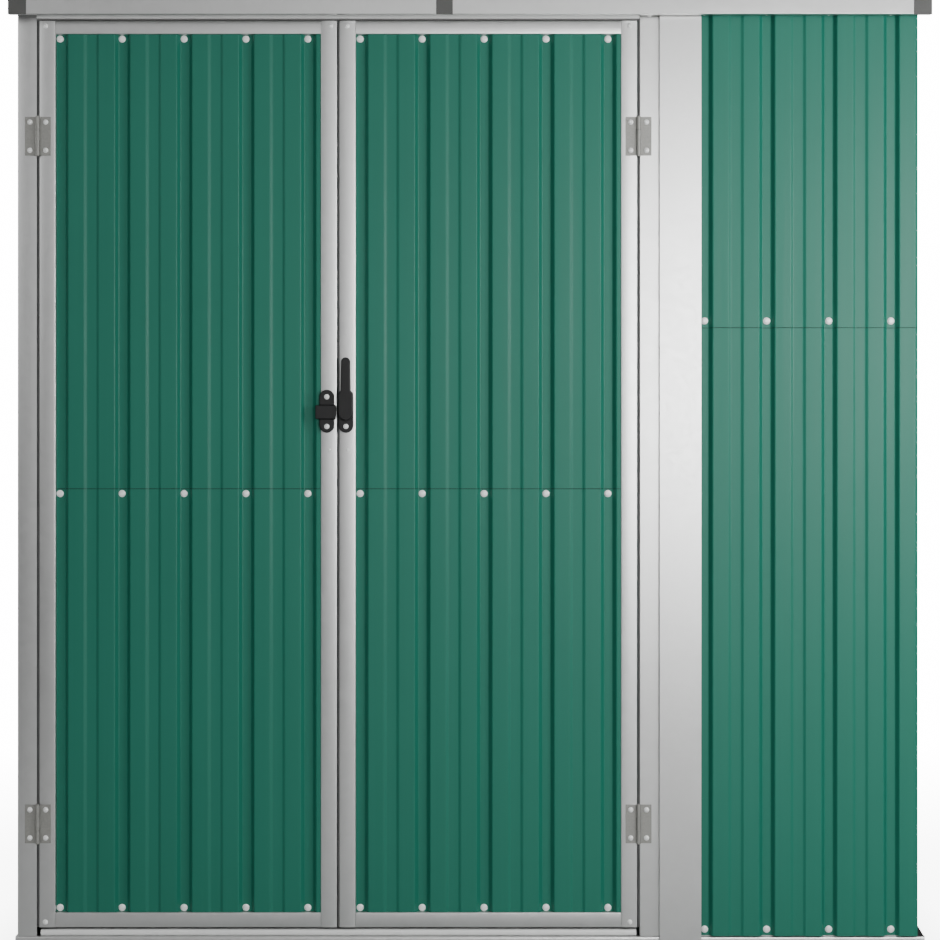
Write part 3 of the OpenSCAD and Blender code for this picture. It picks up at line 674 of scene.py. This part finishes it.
def model_seal(low, high):
    """A seal that half closes a gap: a strip between two corners with its front edges rounded."""
    bpy.ops.mesh.primitive_cube_add(size=1, location=(low + high) / 2)
    seal = bpy.context.active_object
    seal.scale = high - low
    settle(seal)
    mesh = edit(seal)
    middle_y = (low.y + high.y) / 2
    pick(seal, mesh, [
        edge for edge in mesh.edges
        if edge.calc_length() > SHORTEST_FOLD and max(vertex.co.y for vertex in edge.verts) < middle_y
    ])
    bpy.ops.mesh.bevel(offset=SEAL_ROUND, segments=FOLD_SEGMENTS, affect="EDGES")
    done(seal)
    return smooth(seal)


def model_gap_seals():
    """Seals on the left post, the jamb and the header, and one on the right door's meeting stile."""
    leaf_low, leaf_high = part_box("right_door_stiles")
    y0 = leaf_low.y + SEAL_SET_BACK
    y1 = y0 + SEAL_THICK
    post_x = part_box("corner_post_front_left")[1].x
    jamb_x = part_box("door_jamb")[0].x
    header_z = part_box("header_rails")[0].z
    fixed = [
        model_seal(Vector((post_x, y0, leaf_low.z)), Vector((post_x + SEAL_REACH, y1, leaf_high.z))),
        model_seal(Vector((jamb_x - SEAL_REACH, y0, leaf_low.z)), Vector((jamb_x, y1, leaf_high.z))),
        model_seal(Vector((post_x, y0, header_z - SEAL_REACH)), Vector((jamb_x, y1, header_z))),
    ]
    finish_piece(joined(fixed, "doorway_seals"), seal_rubber, "root")
    meeting = model_seal(
        Vector((leaf_low.x - SEAL_REACH, y0, leaf_low.z)), Vector((leaf_low.x, y1, leaf_high.z)),
    )
    meeting.name = "meeting_stile_seal"
    finish_piece(meeting, seal_rubber, "right_door")


model_gap_seals()


# ---- Hinge leaves ----

HINGE_EASE = 0.35 * MM

for node in ("fixed_hinge_leaves", "left_door_hinge_leaves", "right_door_hinge_leaves"):
    shaped(node, hinge_zinc, ease=HINGE_EASE)


# ---- Latch ----

KEEPER_EASE = 2.4 * MM
LATCH_BASE_EASE = 1.6 * MM
LEVER_EASE = 2.6 * MM
PIVOT_COVER_R = 7.5 * MM
PIVOT_COVER_T = 0.4 * MM
pivot = Vector(joints["latch_lever_pivot"]["pos_m"])


def soften(piece, node, width, segments):
    """Rounds all the edges of a latch piece and puts it in its CAD node's place."""
    ease_edges(piece, width, segments)
    smooth(piece, ROUND_SHADING)
    stands_for(piece, node, latch_plastic)


def cover_pivot(lever):
    """Closes the lever in front of its pivot with a low round boss."""
    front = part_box("latch_lever")[0].y
    bpy.ops.mesh.primitive_cylinder_add(
        vertices=48, radius=PIVOT_COVER_R, depth=PIVOT_COVER_T,
        location=(pivot.x, front + PIVOT_COVER_T / 2, pivot.z), rotation=(math.radians(90), 0, 0),
    )
    cover = settle(bpy.context.active_object)
    apply_modifier(lever, "BOOLEAN", operation="UNION", object=cover, solver="EXACT")
    bpy.data.objects.remove(cover)
    return lever


soften(merged_copy("latch_keeper", "latch_keeper_shaped"), "latch_keeper", KEEPER_EASE, 4)
soften(merged_copy("latch_base", "latch_base_shaped"), "latch_base", LATCH_BASE_EASE, 3)
soften(cover_pivot(merged_copy("latch_lever", "latch_lever_shaped")), "latch_lever", LEVER_EASE, 4)


# ---- Hinge pins ----

HINGE_H = 81 * MM
PIN_HEAD_R = 3.6 * MM
PIN_HEAD_T = 1.0 * MM
PIN_HEAD_DOME = ((0.2, 0.5), (0.3, 0.35))


def hinge_centres():
    """Heights of the middles of the lower and the upper hinges."""
    low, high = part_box("fixed_hinge_leaves")
    return low.z + HINGE_H / 2, high.z - HINGE_H / 2


def model_pin_head(axis, height, up):
    """One pin end on a hinge axis: a disc with its middle at `height`, domed on its outer side."""
    bpy.ops.mesh.primitive_cylinder_add(
        vertices=20, radius=PIN_HEAD_R, depth=PIN_HEAD_T, location=(axis.x, axis.y, height),
    )
    head = settle(bpy.context.active_object)
    mesh = edit(head, "FACE")
    pick(head, mesh, [face for face in mesh.faces if face.normal.z * up > FACES_UP])
    for step, rise in PIN_HEAD_DOME:
        bpy.ops.mesh.inset(thickness=PIN_HEAD_R * step)
        bpy.ops.transform.translate(value=(0, 0, up * rise * MM))
    done(head)
    return smooth(head, ROUND_SHADING)


pin_heads = []
for side in DOORS:
    axis = Vector(joints[f"{side}_door_hinge"]["pos_m"])
    for middle in hinge_centres():
        for up in (-1, 1):
            pin_heads.append(model_pin_head(axis, middle + up * (HINGE_H + PIN_HEAD_T) / 2, up))
finish_piece(joined(pin_heads, "hinge_pin_heads"), hinge_zinc, "root")


# ---- Screws ----

WASHER_T = 1.1 * MM
WASHER_RISE = 0.7 * MM
HEAD_RISE = 0.16      # of the head's radius
CROSS_BLADE = (0.9, 0.18, 0.45)      # length, width and height, of the head's radius
LOW_DOME = ((0.34, 0.26),)
FULL_DOME = ((0.1, 0.15), (0.2, 0.15), (0.3, 0.08))
SCREW_TURN = 0.9      # each screw is turned on from the one before, in radians


def model_screw(washer_r, head_r, sides, dome, recess, name):
    """One domed screw with a washer, standing on the origin along +Z, with a cross in its head if recess."""
    bpy.ops.mesh.primitive_cylinder_add(
        vertices=sides, radius=washer_r, depth=WASHER_T, location=(0, 0, WASHER_T / 2),
    )
    screw = settle(bpy.context.active_object)
    mesh = edit(screw, "FACE")
    pick(screw, mesh, [face for face in mesh.faces if face.normal.z > FACES_UP])
    bpy.ops.mesh.inset(thickness=washer_r - head_r)
    bpy.ops.transform.translate(value=(0, 0, WASHER_RISE))
    bpy.ops.mesh.extrude_region_move(TRANSFORM_OT_translate={"value": (0, 0, head_r * HEAD_RISE)})
    for step, rise in dome:
        bpy.ops.mesh.inset(thickness=head_r * step)
        bpy.ops.transform.translate(value=(0, 0, head_r * rise))
    done(screw)
    if recess:
        cut_cross(screw, head_r)
    smooth(screw, ROUND_SHADING)
    screw.name = name
    return screw


def cut_cross(screw, head_r):
    """Cuts a cross recess into the top of a screw."""
    tall = max(vertex.co.z for vertex in screw.data.vertices)
    for turn in (0, 90):
        bpy.ops.mesh.primitive_cube_add(size=1, location=(0, 0, tall))
        blade = bpy.context.active_object
        blade.scale = [head_r * part for part in CROSS_BLADE]
        blade.rotation_euler = (0, 0, math.radians(turn))
        settle(blade)
        apply_modifier(screw, "BOOLEAN", operation="DIFFERENCE", object=blade, solver="EXACT")
        bpy.data.objects.remove(blade)


sheet_screw = model_screw(7.5 * MM, 5.8 * MM, 14, LOW_DOME, False, "sheet_screw_pattern")
plate_screw = model_screw(5.5 * MM, 4.3 * MM, 20, FULL_DOME, True, "plate_screw_pattern")
dot_screw = model_screw(3.4 * MM, 2.6 * MM, 14, LOW_DOME, False, "dot_screw_pattern")


def place_screws(pattern, spots, name, body):
    """Copies of one screw at (point, outward direction) spots, joined into one piece."""
    copies = []
    for number, (point, outward) in enumerate(spots):
        screw = copy_of(pattern, f"{name}_{number}")
        spin = Matrix.Rotation(number * SCREW_TURN, 4, "Z")
        turn = Vector(outward).to_track_quat("Z", "Y").to_matrix().to_4x4()
        screw.matrix_world = Matrix.Translation(point) @ turn @ spin
        settle(screw)
        copies.append(screw)
    piece = joined(copies, name)
    return finish_piece(piece, screw_zinc, body)


# ---- Screws in the wall sheets ----

VALLEY = (14 * MM, 24 * MM)      # least and most width of a full valley's floor
FLOOR_BAND = 0.6 * MM
FOOT_ROW = 12.5 * MM
LAP_ROW = 14 * MM
TOP_ROW = 20 * MM
EDGE_REACH = 40 * MM
POST_MARGIN = 9 * MM


def valley_places(node, across, outward):
    """Middles of a sheet's full valleys along `across`, and how far out their floors lie."""
    points = [vertex.co for vertex in nodes[node].data.vertices]
    depth = min(point.dot(outward) for point in points)
    floor = [point for point in points if point.dot(outward) < depth + FLOOR_BAND]
    edges = sorted({round(point.dot(across), 5) for point in floor})
    middles = [(a + b) / 2 for a, b in zip(edges, edges[1:]) if VALLEY[0] < b - a < VALLEY[1]]
    return middles, depth + SHEET_T


def sheet_top(node, place):
    """Height of a wall sheet's upper edge at a place."""
    return max(
        vertex.co.z for vertex in nodes[node].data.vertices
        if (vertex.co.xy - place.xy).length < EDGE_REACH
    )


def clear_of_posts(place):
    """Whether a screw on a wall sheet stays clear of the corner posts that wrap round the sheets."""
    for post in ("front_left", "back_left", "back_right"):
        low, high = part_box(f"corner_post_{post}")
        if (low.x - POST_MARGIN < place.x < high.x + POST_MARGIN
                and low.y - POST_MARGIN < place.y < high.y + POST_MARGIN):
            return False
    return True


def wall_rows(side, outward, across):
    """Screw spots on a wall: along its foot, over the lap and under the roof."""
    lower, upper = f"{side}_sheet_lower", f"{side}_sheet_upper"
    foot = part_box(lower)[0].z + FOOT_ROW
    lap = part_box(upper)[0].z + LAP_ROW
    spots = []
    for node, height in ((lower, foot), (upper, lap), (upper, None)):
        middles, out = valley_places(node, across, outward)
        for middle in middles:
            place = across * middle + outward * out
            place.z = height if height else sheet_top(node, place) - TOP_ROW
            if clear_of_posts(place):
                spots.append((place, outward))
    return spots


for side, (outward, across) in WALLS.items():
    place_screws(sheet_screw, wall_rows(side, outward, across), f"{side}_wall_screws", "root")


# ---- Screws in the doors, the hinges and the latch ----

DOOR_FOOT_ROW = 8 * MM
DOOR_LAP_ROW = 9.5 * MM
DOOR_TOP_ROW = 8 * MM
SCREW_DRIFT = {"left": 2.0 * MM, "right": 1.0 * MM}
CORNER_IN = {"left": 13 * MM, "right": 16 * MM}
OUTER_CORNER_DOWN = 10.5 * MM
INNER_CORNER_DOWN = 11 * MM
CORNER_UP = 11 * MM
HINGE_T = 1.5 * MM
HINGE_SCREW_OUT = 16.5 * MM
HINGE_SCREW_RISE = 29.5 * MM
KEEPER_T = 8 * MM
LATCH_BASE_T = 9 * MM
KEEPER_FROM_PIVOT = 40 * MM
LATCH_SCREW_UP = 13 * MM
LATCH_SCREW_DOWN = 15 * MM
DOT_SCREW_DOWN = 36 * MM
LEFT_DOT_ASIDE = 5 * MM
RIGHT_DOT_ASIDE = 4 * MM
JAMB_SCREW_IN = 20.5 * MM
JAMB_SCREW_DOWN = 15 * MM


def door_rows(side):
    """Screw spots on a door: three rows in the valleys, each a little off the valley's middle."""
    lower, upper = f"{side}_door_sheet_lower", f"{side}_door_sheet_upper"
    rows = (
        (lower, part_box(lower)[0].z + DOOR_FOOT_ROW),
        (lower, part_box(lower)[1].z - DOOR_LAP_ROW),
        (upper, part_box(upper)[1].z - DOOR_TOP_ROW),
    )
    spots = []
    for node, height in rows:
        middles, out = valley_places(node, RIGHT, FRONT)
        spots += [(Vector((middle - SCREW_DRIFT[side], -out, height)), FRONT) for middle in middles]
    return spots


def stile_corners(side):
    """Screw spots where the stiles meet the rails, except at the inner foot."""
    low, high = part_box(f"{side}_door_stiles")
    outer, inner = (low.x, high.x) if side == "left" else (high.x, low.x)
    in_by = CORNER_IN[side] if side == "left" else -CORNER_IN[side]
    spots = [
        (outer + in_by, high.z - OUTER_CORNER_DOWN),
        (inner - in_by, high.z - INNER_CORNER_DOWN),
        (outer + in_by, low.z + CORNER_UP),
    ]
    return [(Vector((x, low.y, z)), FRONT) for x, z in spots]


def hinge_spots(side, moving):
    """Screw spots on the hinge leaves of one door, or on the fixed leaves beside it."""
    axis = Vector(joints[f"{side}_door_hinge"]["pos_m"])
    towards_door = 1 if side == "left" else -1
    x = axis.x + (towards_door if moving else -towards_door) * HINGE_SCREW_OUT
    face = door_face - HINGE_T
    return [
        (Vector((x, face, middle + up * HINGE_SCREW_RISE)), FRONT)
        for middle in hinge_centres() for up in (-1, 1)
    ]


def front_spots(x, y, *heights):
    """Screw spots that face the front, one at each height."""
    return [(Vector((x, y, z)), FRONT) for z in heights]


door_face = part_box("left_door_stiles")[0].y
for side in DOORS:
    body = f"{side}_door"
    place_screws(sheet_screw, door_rows(side), f"{side}_door_sheet_screws", body)
    place_screws(plate_screw, stile_corners(side), f"{side}_door_corner_screws", body)
    place_screws(plate_screw, hinge_spots(side, True), f"{side}_door_hinge_screws", body)
fixed_spots = hinge_spots("left", False) + hinge_spots("right", False)
place_screws(plate_screw, fixed_spots, "fixed_hinge_screws", "root")

keeper_low, keeper_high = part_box("latch_keeper")
keeper_x = pivot.x - KEEPER_FROM_PIVOT
latch_screw_z = keeper_low.z + LATCH_SCREW_UP
dot_z = keeper_low.z - DOT_SCREW_DOWN
keeper_spots = front_spots(keeper_x, door_face - KEEPER_T, latch_screw_z, keeper_high.z - LATCH_SCREW_DOWN)
base_spots = front_spots(pivot.x, door_face - LATCH_BASE_T, latch_screw_z)
place_screws(plate_screw, keeper_spots, "keeper_screws", "left_door")
place_screws(plate_screw, base_spots, "latch_base_screw", "right_door")
left_dot = front_spots(keeper_x + LEFT_DOT_ASIDE, door_face, dot_z)
right_dot = front_spots(pivot.x + RIGHT_DOT_ASIDE, door_face, dot_z)
place_screws(dot_screw, left_dot, "left_stile_screw", "left_door")
place_screws(dot_screw, right_dot, "right_stile_screw", "right_door")

jamb_low, jamb_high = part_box("door_jamb")
jamb_spots = front_spots(jamb_low.x + JAMB_SCREW_IN, jamb_low.y, jamb_high.z - JAMB_SCREW_DOWN)
place_screws(plate_screw, jamb_spots, "jamb_screw", "root")


# ---- Screws in the back posts and the roof ----

POST_SCREW_IN = 30 * MM


def back_post_spots():
    """Screw spots down the two outer faces of each back post."""
    spots = []
    for side in DOORS:
        low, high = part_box(f"corner_post_back_{side}")
        outer, outward = (low.x, LEFT) if side == "left" else (high.x, RIGHT)
        for z in (low.z + POST_SCREW_IN, (low.z + high.z) / 2, high.z - POST_SCREW_IN):
            spots.append((Vector(((low.x + high.x) / 2, high.y, z)), BACK))
            spots.append((Vector((outer, (low.y + high.y) / 2, z)), outward))
    return spots


def roof_spots():
    """Screw spots in the roof's valleys, over the front and back rails and between them."""
    front_low, front_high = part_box("roof_trim_front")
    back_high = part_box("roof_trim_back")[1]
    slope = math.atan2(back_high.z - front_high.z, back_high.y - front_low.y)
    outward = Vector((0, -math.sin(slope), math.cos(slope)))
    along = Vector((0, math.cos(slope), math.sin(slope)))
    rails = [sum(corner.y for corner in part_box(f"top_rail_{end}")) / 2 for end in ("front", "back")]
    rows = (rails[0], (rails[0] + rails[1]) / 2, rails[1])
    spots = []
    for node in ("roof_sheet_left", "roof_sheet_right"):
        middles, out = valley_places(node, RIGHT, outward)
        for middle in middles:
            for y in rows:
                reach = (y - outward.y * out) / along.y
                spots.append((RIGHT * middle + outward * out + along * reach, outward))
    return spots


place_screws(plate_screw, back_post_spots(), "back_post_screws", "root")
place_screws(sheet_screw, roof_spots(), "roof_screws", "root")
for pattern in (sheet_screw, plate_screw, dot_screw):
    bpy.data.objects.remove(pattern)


# ---- Stage, light and camera ----

BACKDROP = 16.0
FLOOR_SIZE = 60
FLOOR_UNDER = 0.5 * MM
FLOOR_BOUNCE = (0.36, 0.36, 0.36)
FLOOR_FADE = 2.4
FADE_STOPS = [(0.0, 0.0), (0.004, 0.35), (0.05, 0.5), (1.0, 1.0)]
SURROUND = 0.5
SURROUND_STOPS = [
    (0.0, 0.28), (0.3, 0.34), (0.375, 0.62), (0.415, 0.63),
    (0.465, 0.86), (0.505, 0.88), (0.545, 0.64), (0.9, 1.0),
]

# Each light's place, aim, size and power
LIGHTS = {
    "key_right": ((1.65, -1.9, 1.5), (0.7, -0.5, 1.4), (0.7, 1.0), 30),
    "softbox_front": ((1.3, -5.2, 1.5), (0.4, -0.5, 1.3), (1.4, 1.4), 84),
    "card_middle": ((-0.40, -5.2, 1.95), (-0.40, -0.5, 1.95), (0.9, 2.7), 6),
    "fill_left": ((-3.0, -3.5, 2.4), (-0.3, -0.5, 1.0), (2.0, 2.0), 18),
    "back_soft": ((0.5, 3.5, 3.2), (0, 0.3, 1.1), (3.0, 2.0), 70),
    "side_left": ((-3.6, 0.4, 2.0), (-0.9, 0.1, 1.0), (2.0, 1.6), 70),
    "roof_soft": ((0.0, 0.6, 4.8), (0.0, 0.2, 2.0), (3.0, 2.0), 80),
}
CAMERA_DISTANCE = 4.5
CAMERA_HEIGHT = 1.016
SEEN_WIDTH = 1.969


def distance_past_shed(graph):
    """How far a place on the floor lies past the shed's box, as a value output."""
    place = graph.add("ShaderNodeTexCoord")
    folded = graph.add("ShaderNodeVectorMath", operation="ABSOLUTE")
    outside = graph.add("ShaderNodeVectorMath", operation="SUBTRACT")
    outside.inputs[1].default_value = (cad_box[1].x, cad_box[1].y, 0)
    clear = graph.add("ShaderNodeVectorMath", operation="MAXIMUM")
    clear.inputs[1].default_value = (0, 0, 0)
    away = graph.add("ShaderNodeVectorMath", operation="LENGTH")
    graph.link(place.outputs["Object"], folded.inputs[0])
    graph.link(folded.outputs["Vector"], outside.inputs[0])
    graph.link(outside.outputs["Vector"], clear.inputs[0])
    graph.link(clear.outputs["Vector"], away.inputs[0])
    return away.outputs["Value"]


def build_stage():
    """A pale floor that fades to plain white away from the shed, and bounces little light."""
    material, graph, shader = new_material("pale_floor")
    output = next(node for node in material.node_tree.nodes if node.type == "OUTPUT_MATERIAL")
    cloud = effect(graph, SOFT_CLOUD, Scale=1.2)
    seen = graph.add("ShaderNodeLightPath")
    pale = graph.ramp(cloud.outputs["Cloud"], [(0.3, 0.80), (0.7, 0.83)])
    tone = graph.mix(seen.outputs["Is Camera Ray"], FLOOR_BOUNCE, pale)
    graph.link(tone, shader.inputs["Base Color"])
    shader.inputs["Roughness"].default_value = 0.8
    fade = graph.ramp(graph.math("MULTIPLY", distance_past_shed(graph), 1 / FLOOR_FADE), FADE_STOPS)
    amount = graph.math("MULTIPLY", fade, seen.outputs["Is Camera Ray"])
    white = graph.add("ShaderNodeEmission", Strength=BACKDROP)
    blend = graph.add("ShaderNodeMixShader")
    graph.link(amount, blend.inputs["Fac"])
    graph.link(shader.outputs["BSDF"], blend.inputs[1])
    graph.link(white.outputs["Emission"], blend.inputs[2])
    graph.link(blend.outputs["Shader"], output.inputs["Surface"])
    bpy.ops.mesh.primitive_plane_add(size=FLOOR_SIZE, location=(0, 0, cad_box[0].z - FLOOR_UNDER))
    floor = bpy.context.active_object
    floor.name = "studio_floor"
    floor.data.materials.append(material)


def build_world():
    """White behind the object, and a soft surround that is dark on the far left."""
    world = bpy.data.worlds.new("studio")
    bpy.context.scene.world = world
    world.use_nodes = True
    world.node_tree.nodes.clear()
    graph = Graph(world.node_tree)
    place = graph.add("ShaderNodeTexCoord")
    split = graph.add("ShaderNodeSeparateXYZ")
    graph.link(place.outputs["Generated"], split.inputs["Vector"])
    left_to_right = graph.math("MULTIPLY", graph.math("ADD", split.outputs["X"], 1.0), 0.5)
    seen = graph.add("ShaderNodeLightPath")
    surround = graph.add("ShaderNodeBackground", Strength=SURROUND)
    white = graph.add("ShaderNodeBackground", Color=(1, 1, 1, 1), Strength=BACKDROP)
    either = graph.add("ShaderNodeMixShader")
    output = graph.add("ShaderNodeOutputWorld")
    graph.link(graph.ramp(left_to_right, SURROUND_STOPS), surround.inputs["Color"])
    graph.link(seen.outputs["Is Camera Ray"], either.inputs["Fac"])
    graph.link(surround.outputs["Background"], either.inputs[1])
    graph.link(white.outputs["Background"], either.inputs[2])
    graph.link(either.outputs["Shader"], output.inputs["Surface"])


def area_light(name, place, aim, size, power):
    """A rectangular soft light that shines from its place towards its aim."""
    data = bpy.data.lights.new(name, "AREA")
    data.shape = "RECTANGLE"
    data.size, data.size_y = size
    data.energy = power
    light = bpy.data.objects.new(name, data)
    light.location = place
    light.rotation_euler = (Vector(aim) - Vector(place)).to_track_quat("-Z", "Y").to_euler()
    bpy.context.scene.collection.objects.link(light)


def build_camera():
    """Square to the front, at the height of the middle of the view."""
    data = bpy.data.cameras.new("front_view")
    camera = bpy.data.objects.new("front_view", data)
    camera.location = (0, door_face - CAMERA_DISTANCE, CAMERA_HEIGHT)
    camera.rotation_euler = (math.radians(90), 0, 0)
    data.lens = data.sensor_width * CAMERA_DISTANCE / SEEN_WIDTH
    bpy.context.scene.collection.objects.link(camera)
    bpy.context.scene.camera = camera


build_stage()
build_world()
for name, (place, aim, size, power) in LIGHTS.items():
    area_light(name, place, aim, size, power)
build_camera()
